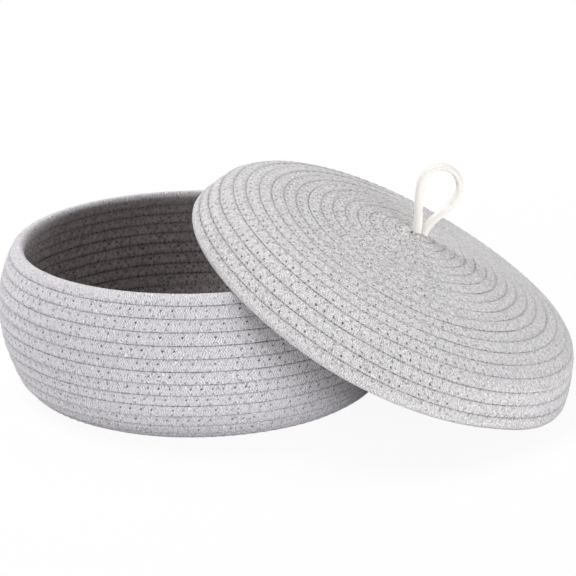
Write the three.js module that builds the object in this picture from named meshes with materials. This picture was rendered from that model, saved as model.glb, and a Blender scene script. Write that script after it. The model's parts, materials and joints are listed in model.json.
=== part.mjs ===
// A lidded storage basket of sewn rope. One rope is coiled flat for the base and then up into a
// bellied wall. A second rope makes the cap-shaped lid, which is off and leans on the basket with
// its lower edge on the floor. A cord loop on the lid lifts it.
// Millimetres, +Z up. The origin is the middle of the base on the floor. The lid leans out to +X.

import * as THREE from "three";
import { mergeVertices } from "three/addons/utils/BufferGeometryUtils.js";

// Rope and sewing
const ropePitch = 8.9;
const ropeThickness = 9.4;
const seamDepth = 1.7;
const freeEdgeWidth = 3.4;
const shoulderShare = 0.66;
const tailLength = 60;
const tailHeight = 3;
const sewnClearance = 0.3;
const stepsPerTurn = 28;

// Basket: each lean is measured from upright, positive where the wall widens going down, at a
// number of turns below the rim, and changes evenly from one to the next
const rimRadius = 134.8;
const wallTurns = 12;
const wallLeans = [
  [0, 25.8],
  [2.4, 14.7],
  [4.8, 0.3],
  [7.2, -15],
  [9, -19],
  [10.2, -27.3],
  [11.2, -44.5],
  [12, -68.5],
];
const footTurns = 1;

// Lid: each lean is measured from the lid's axis, at a number of turns in from its edge
const lidEdgeRadius = 149.1;
const lidRopePitch = 9;
const skirtTurns = 4;
const lidLeans = [
  [0, 26.3],
  [2, 27.1],
  [3.5, 59.1],
  [4.9, 72.3],
  [6.9, 77.8],
  [10.9, 80],
  [14.8, 84.6],
  [18.8, 95.5],
];
const lidRopeEndAngle = 25;

// How the hand-sewn lid is out of true: the size of each wave, and the angle of its crest from the
// lid's lowest point
const lidOval = 1.5;
const skirtShift = 1.2;
const skirtShiftAngle = -11;
const skirtSpread = 1.7;
const skirtSpreadAngle = 79;
const edgeSaddle = 1.8;
const edgeSaddleAngle = 14;
const edgeThreeWave = 1.1;
const roofSwell = 1.2;
const roofSwellAngle = -25;
const roofSaddle = 0.7;
const roofSaddleAngle = -16;
const roofInset = 13.5;

// Where the lid stands on the floor its edge is pressed in and the corner above it bulges out
const edgePress = 2;
const cornerBulge = 1.2;
const pressAngle = 7;

// Hub, where the lid's coil starts beside its middle
const hubShiftX = 2.4;
const hubShiftY = 4.3;
const hubRise = 1;
const hubReach = 60;

// How the lid leans
const lidTilt = 27;
const lidTurn = 1.9;
const restClearance = 0.35;
const restReach = 27;
const restStep = 0.01;

// Cord loop, in its own upright plane: x along the line of its two legs, y up from the hinge
const cordWidth = 6.2;
const cordDepth = 5.4;
const loopTurn = 25;
const loopPath = [
  [-3.3, 0],
  [-9, 12],
  [-15.8, 28],
  [-18, 41],
  [-10.5, 52],
  [0.5, 52],
  [9.5, 42],
  [10.8, 31],
  [5, 15.5],
  [3.3, 7],
  [3.3, 0],
];
const hingeClearance = 0.3;
const cordSides = 10;
const cordSteps = 30;
const cordEndSteps = 3;

// Knot that holds the loop's ends inside the lid
const neckLength = 11.6;
const neckBreadth = 5.4;
const neckClearance = 0.9;
const knotLength = 18;
const knotBreadth = 14;
const knotHeight = 10;
const knotShares = [0.6, 0.92, 1, 0.92, 0.6];
const knotSides = 20;

const halfRope = ropeThickness / 2;
const seamOffset = halfRope - seamDepth;
const freeEdgeSwell = (ropeThickness - ropePitch) / 2;
const hubHoleRadius = neckLength / 2 + neckClearance;
const mergeDistance = 1e-4;
const tiny = 1e-6;

function radians(degrees) {
  return THREE.MathUtils.degToRad(degrees);
}

// Follows a wall from its first knot: how far it goes sideways and upright, and its lean there
function followLeans(knots, turns) {
  let lean = radians(knots[0][1]);
  let side = 0;
  let upright = 0;
  let done = 0;
  if (turns < 0) {
    return { side: turns * Math.sin(lean), upright: turns * Math.cos(lean), lean };
  }
  for (let i = 0; i + 1 < knots.length && turns > knots[i][0]; i++) {
    const span = Math.min(turns, knots[i + 1][0]) - knots[i][0];
    const bend = radians(knots[i + 1][1] - knots[i][1]) / (knots[i + 1][0] - knots[i][0]);
    const from = radians(knots[i][1]);
    lean = from + bend * span;
    if (Math.abs(bend) < tiny) {
      side += span * Math.sin(from);
      upright += span * Math.cos(from);
    } else {
      side += (Math.cos(from) - Math.cos(lean)) / bend;
      upright += (Math.sin(lean) - Math.sin(from)) / bend;
    }
    done += span;
  }
  side += (turns - done) * Math.sin(lean);
  upright += (turns - done) * Math.cos(lean);
  return { side, upright, lean };
}

// A point of the basket: turns down from the rim and then in along the base, angle round the axis,
// and offset out of the middle of the rope
const wallFoot = followLeans(wallLeans, wallTurns);
const baseRadius = rimRadius + wallFoot.side * ropePitch;

function basketPoint(turns, angle, offset) {
  const wall = followLeans(wallLeans, Math.min(turns, wallTurns));
  const past = Math.max(turns - wallTurns, 0);
  const flat = Math.min(past / footTurns, 1);
  const lean = THREE.MathUtils.lerp(wall.lean, -Math.PI / 2, flat);
  const middle = Math.max(rimRadius + (wall.side - past) * ropePitch, 0);
  const radius = middle + offset * Math.cos(lean);
  const height = halfRope + (wallFoot.upright - wall.upright) * ropePitch + offset * Math.sin(lean);
  return new THREE.Vector3(radius * Math.cos(angle), radius * Math.sin(angle), height);
}

// A point of the lid in its own frame: turns in from the edge, angle from its lowest point, and
// offset out of the middle of the rope
function lidPoint(turns, angle, offset) {
  const wall = followLeans(lidLeans, turns);
  const trueRadius = lidEdgeRadius - wall.side * lidRopePitch + offset * Math.cos(wall.lean);
  const down = 1 - turns / skirtTurns;
  const skirtShare = Math.max(down, 0);
  const roofFade = Math.max(1 + Math.min(down, 0), 0);
  const spread = skirtSpread * Math.cos(2 * (angle - radians(skirtSpreadAngle)));
  const shift = skirtShift * Math.cos(angle - radians(skirtShiftAngle));
  const bulge = cornerBulge * roofFade - (cornerBulge + edgePress) * skirtShare;
  const press = Math.max(Math.cos(angle - radians(pressAngle)), 0) ** 2;
  const radius = trueRadius + skirtShare * (spread + shift) + bulge * press;
  const oval = lidOval / lidEdgeRadius;
  const edgeShare = (trueRadius / lidEdgeRadius) ** 2;
  const roofShare = Math.sin(Math.PI * Math.min(trueRadius / (lidEdgeRadius - roofInset), 1));
  const saddle = edgeSaddle * Math.cos(2 * (angle - radians(edgeSaddleAngle)));
  const swell = roofSwell * Math.cos(angle - radians(roofSwellAngle));
  const roofWave = roofSaddle * Math.cos(2 * (angle - radians(roofSaddleAngle)));
  const hubShare = Math.max(1 - trueRadius / hubReach, 0) ** 2;
  let height = wall.upright * lidRopePitch + offset * Math.sin(wall.lean) + hubShare * hubRise;
  height += edgeShare * (saddle + edgeThreeWave * Math.cos(3 * angle)) + roofShare * (swell + roofWave);
  return new THREE.Vector3(
    radius * (1 + oval) * Math.cos(angle) + hubShare * hubShiftX,
    radius * (1 - oval) * Math.sin(angle) + hubShare * hubShiftY,
    height,
  );
}

// Turns in from the lid's edge to where its coil starts round the hub's hole
function findHubTurns() {
  let turns = Math.ceil((2 * lidEdgeRadius) / lidRopePitch);
  while (lidEdgeRadius - followLeans(lidLeans, turns).side * lidRopePitch < hubHoleRadius) {
    turns -= 1 / stepsPerTurn;
  }
  return turns;
}

// Turns triangles of numbered corners into one closed geometry, with its faces pointing out
function closedGeometry(corners, triangles) {
  const positions = triangles.flatMap((triangle) => triangle.flatMap((k) => corners[k].toArray()));
  let geometry = new THREE.BufferGeometry();
  geometry.setAttribute("position", new THREE.Float32BufferAttribute(positions, 3));
  geometry = mergeVertices(geometry, mergeDistance);
  const index = Array.from(geometry.index.array);
  const kept = [];
  for (let i = 0; i < index.length; i += 3) {
    const [a, b, c] = index.slice(i, i + 3);
    if (a !== b && b !== c && c !== a) {
      kept.push(a, b, c);
    }
  }
  if (signedVolume(geometry, kept) < 0) {
    kept.reverse();
  }
  geometry.setIndex(kept);
  geometry.computeVertexNormals();
  return geometry;
}

function signedVolume(geometry, index) {
  const place = geometry.getAttribute("position");
  const [a, b, c] = [new THREE.Vector3(), new THREE.Vector3(), new THREE.Vector3()];
  let volume = 0;
  for (let i = 0; i < index.length; i += 3) {
    a.fromBufferAttribute(place, index[i]);
    b.fromBufferAttribute(place, index[i + 1]);
    c.fromBufferAttribute(place, index[i + 2]);
    volume += a.dot(b.cross(c)) / 6;
  }
  return volume;
}

// Corners stand out by this factor so that the flat facets of a turn straddle its true round
const facetFit = 1 / Math.sqrt(Math.cos(Math.PI / stepsPerTurn));

// Coiled rope as one ribbed solid. Its rope runs from firstTurn to lastTurn, counted in from the
// free edge, and the seam between two neighbouring turns is one line of shared points. A coil that
// starts at a hub has its first turn widen from nothing round it.
function coilGeometry(shape) {
  const { point, firstTurn, lastTurn, hubTurn, endAngle, outerCrest, innerCrest, freeEdge } = shape;
  const start = hubTurn ?? firstTurn;
  const steps = Math.round((start - lastTurn + (hubTurn ? 0.5 : 0)) * stepsPerTurn);
  const hub = hubTurn ? lastTurn - 0.5 + steps / stepsPerTurn : Infinity;
  const gap = sewnClearance / 2 / ropePitch;
  const tailSteps = Math.round((tailLength / (2 * Math.PI * lidEdgeRadius)) * stepsPerTurn);

  const seamTurns = [];
  for (let m = 0; m <= steps + stepsPerTurn; m++) {
    let turns = Math.min(hub, lastTurn + 0.5 + (steps - m) / stepsPerTurn);
    if (!hubTurn && m <= stepsPerTurn) {
      turns -= gap;
    }
    if (!freeEdge && m >= steps) {
      turns += gap;
    }
    if (freeEdge && m >= steps) {
      turns -= freeEdgeSwell / ropePitch;
    }
    const tailShare = 1 - (steps + stepsPerTurn - m) / tailSteps;
    if (freeEdge && tailShare > 0) {
      turns = seamTurns[m - stepsPerTurn] - 1 + tailShare * (1 - tailHeight / ropePitch);
    }
    seamTurns.push(turns);
  }

  const corners = [];
  const seams = [];
  const crests = [];
  const shoulders = [];
  const angleAt = (m) => radians(endAngle) + (2 * Math.PI * (m - steps)) / stepsPerTurn;
  const corner = (turns, m, offset) => {
    const place = point(turns, angleAt(m), offset);
    place.x *= facetFit;
    place.y *= facetFit;
    return corners.push(place) - 1;
  };
  for (let m = 0; m <= steps + stepsPerTurn; m++) {
    const seam = freeEdge && m >= steps ? freeEdgeWidth / 2 : seamOffset;
    const outer = outerCrest ? seam : halfRope;
    const inner = innerCrest ? seam : halfRope;
    seams.push([corner(seamTurns[m], m, outer), corner(seamTurns[m], m, -inner)]);
  }
  for (let m = 0; m <= steps; m++) {
    const width = seamTurns[m] - seamTurns[m + stepsPerTurn];
    const middle = seamTurns[m + stepsPerTurn] + width / 2;
    const offset = seamOffset + seamDepth * Math.min(width, 1);
    crests.push([corner(middle, m, offset), corner(middle, m, -offset)]);
    if (freeEdge && m >= steps - stepsPerTurn) {
      const edge = middle - (width / 2) * shoulderShare;
      const out = offset * shoulderShare;
      shoulders[m] = [corner(edge, m, out), corner(edge, m, -out)];
    }
  }

  const triangles = [];
  const face = (...loop) => {
    for (let i = 1; i + 1 < loop.length; i++) {
      triangles.push([loop[0], loop[i], loop[i + 1]]);
    }
  };
  const sides = [outerCrest, innerCrest];
  const line = (m, side) => {
    const middle = sides[side] ? [crests[m][side]] : [];
    const shoulder = shoulders[m] ? [shoulders[m][side]] : [];
    return [seams[m][side], ...middle, ...shoulder, seams[m + stepsPerTurn][side]];
  };
  for (let m = 0; m < steps; m++) {
    for (const side of [0, 1]) {
      const here = line(m, side);
      const next = line(m + 1, side);
      let i = 0;
      let k = 0;
      while (i + 1 < here.length || k + 1 < next.length) {
        const loop = [here[i], next[k]];
        if (k + 1 < next.length && k <= i) {
          k += 1;
          loop.push(next[k]);
        } else {
          i += 1;
          loop.push(here[i]);
        }
        face(...(side ? loop.reverse() : loop));
      }
    }
  }
  for (let m = 0; m < stepsPerTurn; m++) {
    face(seams[m][0], seams[m][1], seams[m + 1][1], seams[m + 1][0]);
    const [a, b] = [steps + m, steps + m + 1];
    face(seams[a][0], seams[b][0], seams[b][1], seams[a][1]);
  }
  face(...line(0, 0), ...line(0, 1).reverse());
  face(...line(steps, 1), ...line(steps, 0).reverse());
  return closedGeometry(corners, triangles);
}

// Round-ended cord along a path in the XZ plane, as an oval tube
function cordGeometry(path) {
  const points = path.map(([x, z]) => new THREE.Vector3(x, 0, z));
  const curve = new THREE.CatmullRomCurve3(points, false, "centripetal");
  const across = new THREE.Vector3(0, 1, 0);
  const rings = [];
  for (let i = -cordEndSteps; i <= cordSteps + cordEndSteps; i++) {
    const share = THREE.MathUtils.clamp(i / cordSteps, 0, 1);
    const past = Math.max(-i, i - cordSteps, 0) / cordEndSteps;
    const swing = (past * Math.PI) / 2;
    const along = curve.getTangentAt(share);
    const middle = curve.getPointAt(share);
    middle.addScaledVector(along, Math.sign(i) * Math.sin(swing) * (cordDepth / 2));
    const side = new THREE.Vector3().crossVectors(along, across);
    rings.push({ middle, side, size: Math.cos(swing) });
  }
  const corners = [];
  const triangles = [];
  for (const { middle, side, size } of rings) {
    for (let k = 0; k < cordSides; k++) {
      const angle = (2 * Math.PI * k) / cordSides;
      const place = middle.clone();
      place.addScaledVector(side, (size * Math.cos(angle) * cordWidth) / 2);
      place.addScaledVector(across, (size * Math.sin(angle) * cordDepth) / 2);
      corners.push(place);
    }
  }
  for (let i = 0; i + 1 < rings.length; i++) {
    for (let k = 0; k < cordSides; k++) {
      const a = i * cordSides + k;
      const b = i * cordSides + ((k + 1) % cordSides);
      triangles.push([a, b, b + cordSides], [a, b + cordSides, a + cordSides]);
    }
  }
  return closedGeometry(corners, triangles);
}

// Stack of oval rings down the Z axis, each [height, half length, half breadth]
function ovalStackGeometry(rings) {
  const corners = [];
  const triangles = [];
  for (const [height, halfLength, halfBreadth] of rings) {
    for (let k = 0; k < knotSides; k++) {
      const angle = (2 * Math.PI * k) / knotSides;
      corners.push(new THREE.Vector3(halfLength * Math.cos(angle), halfBreadth * Math.sin(angle), height));
    }
  }
  for (let i = 0; i + 1 < rings.length; i++) {
    for (let k = 0; k < knotSides; k++) {
      const a = i * knotSides + k;
      const b = i * knotSides + ((k + 1) % knotSides);
      triangles.push([a, b, b + knotSides], [a, b + knotSides, a + knotSides]);
    }
  }
  const last = (rings.length - 1) * knotSides;
  for (let k = 1; k + 1 < knotSides; k++) {
    triangles.push([0, k + 1, k], [last, last + k, last + k + 1]);
  }
  return closedGeometry(corners, triangles);
}

function named(name, geometry, material) {
  const mesh = new THREE.Mesh(geometry, material);
  mesh.name = name;
  return mesh;
}

// Finishes: heathered grey cotton rope, a little warmer on the lid, and cream cotton cord
const basketRope = new THREE.MeshStandardMaterial({ color: 0xc5c3c8, roughness: 0.95, metalness: 0 });
const lidRope = new THREE.MeshStandardMaterial({ color: 0xcdcbcb, roughness: 0.95, metalness: 0 });
const creamCord = new THREE.MeshStandardMaterial({ color: 0xf4efe4, roughness: 0.9, metalness: 0 });

// Turns rounded to whole steps, so that two coils on one rope meet at a step
function wholeSteps(turns) {
  return Math.round(turns * stepsPerTurn) / stepsPerTurn;
}

function makeBasket() {
  const turns = wholeSteps(wallTurns);
  const base = coilGeometry({
    point: basketPoint,
    hubTurn: wallTurns + baseRadius / ropePitch,
    lastTurn: turns - 0.5,
    endAngle: -360 * turns,
    innerCrest: true,
  });
  const wall = coilGeometry({
    point: basketPoint,
    firstTurn: turns - 0.5,
    lastTurn: -0.5,
    endAngle: 0,
    outerCrest: true,
    innerCrest: true,
    freeEdge: true,
  });
  return [named("base_coil", base, basketRope), named("wall_coil", wall, basketRope)];
}

function makeLidCoils() {
  const turns = wholeSteps(skirtTurns);
  const top = coilGeometry({
    point: lidPoint,
    hubTurn: findHubTurns(),
    lastTurn: turns - 0.5,
    endAngle: lidRopeEndAngle - 360 * turns,
    outerCrest: true,
  });
  const skirt = coilGeometry({
    point: lidPoint,
    firstTurn: turns - 0.5,
    lastTurn: -0.5,
    endAngle: lidRopeEndAngle,
    outerCrest: true,
    innerCrest: true,
    freeEdge: true,
  });
  return [named("lid_top_coil", top, lidRope), named("lid_skirt_coil", skirt, lidRope)];
}

// The loop stands on a hinge line across its legs, just clear of the knot's neck below it
function makeHub() {
  const hub = new THREE.Group();
  const crest = lidPoint(findHubTurns(), 0, halfRope).z;
  const inside = lidPoint(findHubTurns(), 0, -halfRope).z;
  hub.position.set(hubShiftX, hubShiftY, crest);
  hub.rotation.z = radians(loopTurn);
  const seat = inside - crest - sewnClearance;
  const neck = [neckLength / 2, neckBreadth / 2];
  const knot = knotShares.map((share, i) => {
    const height = seat - (knotHeight * i) / (knotShares.length - 1);
    return [height, (knotLength / 2) * share, (knotBreadth / 2) * share];
  });
  const rings = [[0, ...neck], [seat, ...neck], ...knot];
  hub.add(named("loop_knot", ovalStackGeometry(rings), creamCord));
  const loop = named("pull_loop", cordGeometry(loopPath), creamCord);
  loop.position.z = cordDepth / 2 + hingeClearance;
  hub.add(loop);
  return hub;
}

// Edges of the last few turns of a coil, as pairs of points in the coil's own frame
function edgesNear(geometry, matrix, keep) {
  const place = geometry.getAttribute("position");
  const points = [];
  for (let i = 0; i < place.count; i++) {
    points.push(new THREE.Vector3().fromBufferAttribute(place, i).applyMatrix4(matrix));
  }
  const edges = [];
  for (let i = 0; i < geometry.index.count; i += 3) {
    for (let k = 0; k < 3; k++) {
      const a = geometry.index.getX(i + k);
      const b = geometry.index.getX(i + ((k + 1) % 3));
      if (a < b && keep(points[a]) && keep(points[b])) {
        edges.push([points[a], points[b]]);
      }
    }
  }
  return edges;
}

// Least distance between two straight edges
function edgeDistance([a, b], [c, d], shift) {
  const u = b.clone().sub(a);
  const v = d.clone().sub(c);
  const w = a.clone().add(shift).sub(c);
  const [uu, uv, vv, uw, vw] = [u.dot(u), u.dot(v), v.dot(v), u.dot(w), v.dot(w)];
  const spread = uu * vv - uv * uv;
  const clamp = (x) => Math.min(Math.max(x, 0), 1);
  let s = spread > tiny ? clamp((uv * vw - vv * uw) / spread) : 0;
  const t = clamp((uv * s + vw) / vv);
  s = clamp((uv * t - uw) / uu);
  return w.addScaledVector(u, s).addScaledVector(v, -t).length();
}

// Leans the lid: its lowest point is on the floor, and it comes in from +X until its rope is just
// clear of the rim's
function leanLid(lid, lidMeshes, wallMesh) {
  lid.rotation.set(0, radians(lidTilt), radians(lidTurn), "ZYX");
  lid.updateMatrixWorld(true);
  const lidBox = new THREE.Box3().setFromObject(lid, true);
  const lift = -lidBox.min.z;
  const rimHeight = new THREE.Box3().setFromObject(wallMesh, true).max.z;
  const rimEdges = edgesNear(wallMesh.geometry, new THREE.Matrix4(), (p) => p.z > rimHeight - restReach);
  const lowOnLid = (p) => p.z + lift < rimHeight + restReach;
  const lidEdges = lidMeshes.flatMap((mesh) => edgesNear(mesh.geometry, lid.matrixWorld, lowOnLid));
  const shift = new THREE.Vector3(0, 0, lift);
  const gapAt = (reach) => {
    shift.x = reach;
    let gap = restReach;
    for (const rim of rimEdges) {
      for (const edge of lidEdges) {
        const far = Math.abs(edge[0].x + reach - rim[0].x) + Math.abs(edge[0].y - rim[0].y);
        if (far < 2 * restReach) {
          gap = Math.min(gap, edgeDistance(edge, rim, shift));
        }
      }
    }
    return gap;
  };
  let clear = rimRadius + lidEdgeRadius;
  let step = ropePitch / 2;
  while (step > restStep) {
    while (gapAt(clear - step) > restClearance) {
      clear -= step;
    }
    step /= 2;
  }
  lid.position.set(clear, 0, lift);
  lid.updateMatrixWorld(true);
  const gap = gapAt(clear).toFixed(2);
  console.log(`lid: middle ${clear.toFixed(2)} out, raised ${lift.toFixed(2)}, ${gap} clear of the rim`);
}

function makeObject() {
  const object = new THREE.Group();
  const basket = makeBasket();
  const lid = new THREE.Group();
  const coils = makeLidCoils();
  lid.add(...coils);
  leanLid(lid, coils, basket[1]);
  lid.add(makeHub());
  object.add(...basket, lid);
  object.updateMatrixWorld(true);
  return object;
}

const object = makeObject();
const loop = object.getObjectByName("pull_loop");
const hinge = loop.getWorldPosition(new THREE.Vector3());
const hingeAxis = new THREE.Vector3(1, 0, 0).transformDirection(loop.matrixWorld);
const size = new THREE.Box3().setFromObject(object, true);
const shown = (vector, digits) => vector.toArray().map((value) => value.toFixed(digits));
console.log(`hinge at ${shown(hinge, 2)}, axis ${shown(hingeAxis, 4)}`);
console.log(`box ${shown(size.min, 2)} to ${shown(size.max, 2)}`);

export default object;
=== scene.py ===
import json
import math
import bpy
import numpy as np
from mathutils import Matrix, Vector


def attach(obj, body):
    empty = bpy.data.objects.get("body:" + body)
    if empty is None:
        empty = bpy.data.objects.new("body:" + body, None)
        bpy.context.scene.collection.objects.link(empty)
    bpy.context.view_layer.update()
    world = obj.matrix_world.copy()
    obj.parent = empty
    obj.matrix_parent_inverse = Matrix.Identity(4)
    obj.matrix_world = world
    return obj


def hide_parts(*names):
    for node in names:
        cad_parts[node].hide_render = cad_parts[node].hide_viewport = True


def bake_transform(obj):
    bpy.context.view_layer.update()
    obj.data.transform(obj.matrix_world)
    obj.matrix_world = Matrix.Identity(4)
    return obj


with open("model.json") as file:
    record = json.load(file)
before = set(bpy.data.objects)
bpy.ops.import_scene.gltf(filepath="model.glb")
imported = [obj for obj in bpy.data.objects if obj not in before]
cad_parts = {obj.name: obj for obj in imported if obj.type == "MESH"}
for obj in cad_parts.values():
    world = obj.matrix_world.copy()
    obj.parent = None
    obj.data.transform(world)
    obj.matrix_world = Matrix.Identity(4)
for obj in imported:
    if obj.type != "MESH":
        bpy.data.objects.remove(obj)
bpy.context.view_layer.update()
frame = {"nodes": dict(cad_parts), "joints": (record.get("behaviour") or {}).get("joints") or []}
print("frame: loaded", sorted(frame["nodes"]))

mm = 0.001  # sizes are in millimetres, and buildMesh turns them into metres
draws = np.random.default_rng(7)


# smooth random values from -1 to 1 along a line, with a new one at every step
def makeWaver(start, end, step):
    knots = np.arange(start - step, end + 3 * step, step)
    values = draws.uniform(-1, 1, len(knots))

    def waver(along):
        place = (np.asarray(along, float) - knots[0]) / step
        low = np.clip(np.floor(place).astype(int), 0, len(knots) - 2)
        share = np.clip(place - low, 0, 1)
        share = share * share * (3 - 2 * share)
        return values[low] * (1 - share) + values[low + 1] * share

    return waver


# how far a wall goes sideways and upright, in ropes, and its lean, at each number of turns from its edge
def leanProfile(leans):
    first, beyond, step = -1.5, 4, 0.01
    turns = np.arange(first, leans[-1][0] + beyond, step)
    knots, degrees = zip(*leans)
    lean = np.radians(np.interp(turns, knots, degrees))
    middle = (lean[1:] + lean[:-1]) / 2
    side = np.concatenate([[0], np.cumsum(np.sin(middle)) * step])
    upright = np.concatenate([[0], np.cumsum(np.cos(middle)) * step])
    zero = int(round(-first / step))
    side -= side[zero]
    upright -= upright[zero]

    def profile(at):
        return np.interp(at, turns, side), np.interp(at, turns, upright), np.interp(at, turns, lean)

    return profile


# degrees from a middle to an angle, the shorter way round
def degreesFrom(middle, angle):
    return (np.degrees(angle) - middle + 180) % 360 - 180


# 1 at a middle, 0 beyond its reach on either side
def nearAngle(angle, middle, reach):
    return np.cos(np.clip(degreesFrom(middle, angle) / reach, -1, 1) * math.pi / 2) ** 2


# a wave round the lid, from its size and the angle of its crest
def wave(shape, count, angle):
    size, crest = shape
    return size * np.cos(count * (angle - math.radians(crest)))


basket = {
    "ropePitch": 8.9,  # seam to seam
    "ropeThickness": 9.4,
    "seamDepth": 0.78,
    "rimRadius": 134.8,
    "wallTurns": 12,
    "footTurns": 1,  # over which the wall turns flat for the base
    "footLift": 0.6,  # how far the base stands off the floor inside its foot
    # turns down from the rim, and how far the wall spreads there, in degrees from upright
    "leans": [(0, 25.8), (2.4, 14.7), (4.8, 0.3), (7.2, -15), (9, -19), (10.2, -27.3), (11.2, -44.5),
              (12, -68.5)],
    "endAngle": 0,  # where the rope ends at the rim
    "stitchBelow": 3.2,  # from a seam to its needle holes on the hub's side, and to those on the rim's
    "stitchAbove": 1.7,
    "holeSize": 0.68,
    "plainSide": (0, 0),  # angle and reach of the part where the needle holes have closed: none
    "closeSides": (),  # where turns press close: nowhere
    "seamFade": (1, 1),  # how dark the painted seam shade is at the free edge, and on the way to the hub
    "hubSeam": 0,  # and how much darker close round it
    "yarnLength": 1.7,  # along the rope, from one yarn to the next
    "yarnShown": 1,  # how much the yarns stand out
    "fibreShown": 1,
    "contrast": 1.1,  # between the light and the dark of the yarns
    "colour": (212, 209.5, 213),
}

basketWall = leanProfile(basket["leans"])
footSide, footUpright = basketWall(basket["wallTurns"])[:2]
baseRadius = basket["rimRadius"] + footSide * basket["ropePitch"]


# a point of the basket: turns from the rim, angle round the axis, and offset out of the rope's middle
def basketPoint(turns, angle, offset):
    pitch = basket["ropePitch"]
    side, upright, lean = basketWall(np.minimum(turns, basket["wallTurns"]))
    past = np.maximum(turns - basket["wallTurns"], 0)
    flat = np.minimum(past / basket["footTurns"], 1)
    lean = lean + (-math.pi / 2 - lean) * flat
    radius = np.maximum(basket["rimRadius"] + (side - past) * pitch, 0) + offset * np.cos(lean)
    height = basket["ropeThickness"] / 2 + (footUpright - upright) * pitch + offset * np.sin(lean)
    height = height + flat * basket["footLift"]
    return np.stack([radius * np.cos(angle), radius * np.sin(angle), height], -1)


# angles on the lid are in degrees from its lowest point
lid = {
    "ropePitch": 9,
    "ropeThickness": 9.4,
    "seamDepth": 0.78,
    "edgeRadius": 149.1,
    "skirtTurns": 4,
    # turns in from the edge, and how far the wall closes in there, in degrees from upright
    "leans": [(0, 26.3), (2, 27.1), (3.5, 59.1), (4.9, 72.3), (6.9, 77.8), (10.9, 80), (14.8, 84.6),
              (18.8, 95.5)],
    "endAngle": 25,
    "middle": (136.98, 0, 73.25),  # of the edge's circle, where the lid leans on the rim
    "tilt": 27,
    "turn": 1.9,
    "oval": 1.5,
    "skirtShift": (1.2, -11),  # each wave's size, and the angle of its crest
    "skirtSpread": (1.7, 79),
    "edgeSaddle": (1.8, 14),
    "edgeThreeWave": (1.1, 0),
    "roofSwell": (1.2, -25),
    "roofSaddle": (0.7, -16),
    "roofInset": 13.5,  # from the edge's circle to where the roof's waves end
    "edgePress": 4,  # how far the edge is pressed in on the low side
    "cornerBulge": 2.2,  # and how far the corner over it bulges out
    "pressAngle": 7,
    # where the edge has lost its shape: angle, reach, and how far it goes out and up
    "edgeSags": ((-16, 32, 2.7, -1.8), (-60, 40, -0.4, 1.0)),
    "hubShift": (2.4, 4.3),  # where the hub lies off the lid's middle
    "hubRise": 1,
    "hubReach": 60,
    "hubHole": 0.4,
    "hubSearch": (10, 24, 0.01),  # turns over which the hub is looked for, and the steps
    "hubMound": 3.2,  # how far the coil stands up close round the loop, and how far out that reaches
    "moundReach": 26,
    "hubSqueeze": 0.2,  # how much the coil closes in on the loop's flat pair of legs, and how far out
    "squeezeReach": 16,
    "loopTurn": 25,  # angle of the line through the loop's legs
    "stitchBelow": 2.6,
    "stitchAbove": 2.2,
    "holeSize": 0.7,
    "plainSide": (10, 75),
    # where turns press close: angle, reach, first and last turn, amount
    "closeSides": ((70, 52, 2.5, 99, 1), (-85, 60, 7, 99, 0.75), (8, 50, -3, 5.5, 0.55)),
    "seamFade": (1.1, 1.05),
    "hubSeam": 0.2,
    "yarnLength": 1.5,
    "yarnShown": 0.65,
    "fibreShown": 1.3,
    "contrast": 1.2,
    "colour": (212, 210, 210.5),
}

lidWall = leanProfile(lid["leans"])
lidPlace = (
    Matrix.Translation(lid["middle"])
    @ Matrix.Rotation(math.radians(lid["turn"]), 4, "Z")
    @ Matrix.Rotation(math.radians(lid["tilt"]), 4, "Y")
)


# the lid's radius with the waves of its skirt, its pressed edge and its bulging corner
def lidRadius(trueRadius, down, angle):
    skirtShare = np.maximum(down, 0)
    roofFade = np.maximum(1 + np.minimum(down, 0), 0)
    bulge = lid["cornerBulge"] * roofFade - (lid["cornerBulge"] + lid["edgePress"]) * skirtShare
    press = np.maximum(np.cos(angle - math.radians(lid["pressAngle"])), 0) ** 2
    outOfTrue = wave(lid["skirtSpread"], 2, angle) + wave(lid["skirtShift"], 1, angle)
    return trueRadius + skirtShare * outOfTrue + bulge * press


# a point of the lid where it leans: turns in from the edge, angle from its lowest point, and offset
def lidPoint(turns, angle, offset):
    pitch = lid["ropePitch"]
    side, upright, lean = lidWall(turns)
    trueRadius = lid["edgeRadius"] - side * pitch + offset * np.cos(lean)
    down = 1 - turns / lid["skirtTurns"]
    radius = lidRadius(trueRadius, down, angle)
    edgeShare = (trueRadius / lid["edgeRadius"]) ** 2
    roofShare = np.sin(np.pi * np.minimum(trueRadius / (lid["edgeRadius"] - lid["roofInset"]), 1))
    hubShare = np.maximum(1 - trueRadius / lid["hubReach"], 0) ** 2
    height = upright * pitch + offset * np.sin(lean) + hubShare * lid["hubRise"]
    height = height + edgeShare * (wave(lid["edgeSaddle"], 2, angle) + wave(lid["edgeThreeWave"], 3, angle))
    height = height + roofShare * (wave(lid["roofSwell"], 1, angle) + wave(lid["roofSaddle"], 2, angle))
    height = height + lid["hubMound"] * np.clip(1 - trueRadius / lid["moundReach"], 0, 1) ** 2
    squeeze = lid["hubSqueeze"] * np.clip(1 - (trueRadius - lid["hubHole"]) / lid["squeezeReach"], 0, 1) ** 2
    legs = math.radians(lid["loopTurn"])
    inward = -squeeze * radius * np.sin(angle - legs)
    oval = lid["oval"] / lid["edgeRadius"]
    x = radius * (1 + oval) * np.cos(angle) - inward * math.sin(legs) + hubShare * lid["hubShift"][0]
    y = radius * (1 - oval) * np.sin(angle) + inward * math.cos(legs) + hubShare * lid["hubShift"][1]
    for middle, reach, out, up in lid["edgeSags"]:
        sag = np.maximum(down, 0) * nearAngle(angle, middle, reach)
        x = x + sag * out * np.cos(angle)
        y = y + sag * out * np.sin(angle)
        height = height + sag * up
    turned = np.array(lidPlace.to_3x3())
    return np.stack([x, y, height], -1) @ turned.T + np.array(lidPlace.translation)


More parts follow.
